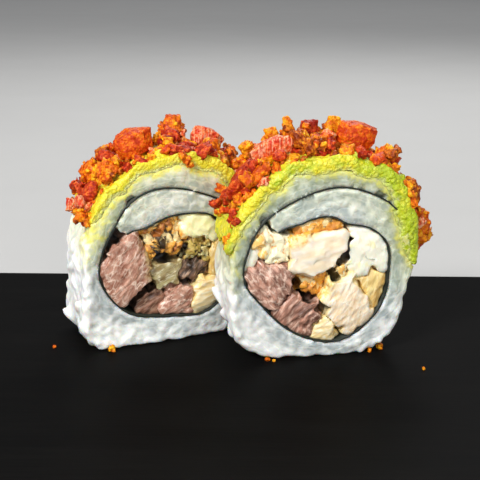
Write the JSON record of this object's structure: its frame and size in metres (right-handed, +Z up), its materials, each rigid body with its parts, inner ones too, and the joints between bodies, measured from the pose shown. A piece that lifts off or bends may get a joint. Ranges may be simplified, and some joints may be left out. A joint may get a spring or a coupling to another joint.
{
  "type": "uramaki roll",
  "caption": "Uramaki sushi on a black serving board: cut rice rolls with nori spirals, meat fillings, and avocado and bacon on top.",
  "frame": {"origin": "centre of the board's underside", "axes": "+Z up from the board, +X along the board's long side, the rolls' cut faces look towards -Y"},
  "size_m": [0.17, 0.13, 0.067],
  "materials": {
    "board": "black stained wood, satin, with fine straight grain",
    "rice": "cooked short-grain rice, pearly and a little see-through",
    "nori": "dried seaweed sheet, nearly black green",
    "avocado": "mashed avocado, moist, yellow to light green",
    "bacon": "fried bacon bits, oily, orange to deep red",
    "beef": "cooked beef, pinkish brown, cut across its fibres",
    "chicken": "cooked chicken, pale with yellow edges, fibrous",
    "tempura": "pale fried piece with a light golden coat",
    "batter": "crisp fried batter, orange brown",
    "cream_cheese": "cream cheese, smooth and off-white",
    "mushroom": "cooked mushroom and herbs, olive brown"
  },
  "bodies": {
    "root": {"board": "board", "left_avocado": "avocado", "left_bacon_1": "bacon", "left_bacon_10": "bacon", "left_bacon_11": "bacon", "left_bacon_12": "bacon", "left_bacon_13": "bacon", "left_bacon_14": "bacon", "left_bacon_2": "bacon", "left_bacon_3": "bacon", "left_bacon_4": "bacon", "left_bacon_5": "bacon", "left_bacon_6": "bacon", "left_bacon_7": "bacon", "left_bacon_8": "bacon", "left_bacon_9": "bacon", "left_beef_bottom": "beef", "left_beef_low": "beef", "left_beef_side": "beef", "left_beef_strands": "beef", "left_cheese": "cream_cheese", "left_chicken_low": "chicken", "left_chicken_middle": "chicken", "left_chicken_side": "chicken", "left_crust_top": "batter", "left_mushroom": "mushroom", "left_nori": "nori", "left_rice": "rice", "right_avocado": "avocado", "right_bacon_1": "bacon", "right_bacon_10": "bacon", "right_bacon_11": "bacon", "right_bacon_12": "bacon", "right_bacon_13": "bacon", "right_bacon_14": "bacon", "right_bacon_15": "bacon", "right_bacon_16": "bacon", "right_bacon_2": "bacon", "right_bacon_3": "bacon", "right_bacon_4": "bacon", "right_bacon_5": "bacon", "right_bacon_6": "bacon", "right_bacon_7": "bacon", "right_bacon_8": "bacon", "right_bacon_9": "bacon", "right_beef_low": "beef", "right_beef_side": "beef", "right_cheese": "cream_cheese", "right_cheese_bit": "cream_cheese", "right_chicken_bottom": "chicken", "right_chicken_low": "chicken", "right_chicken_side": "chicken", "right_crumb": "tempura", "right_crust_middle": "batter", "right_crust_side": "tempura", "right_crust_top": "batter", "right_fried_fillet": "tempura", "right_nori": "nori", "right_rice": "rice"}
  },
  "joints": []
}
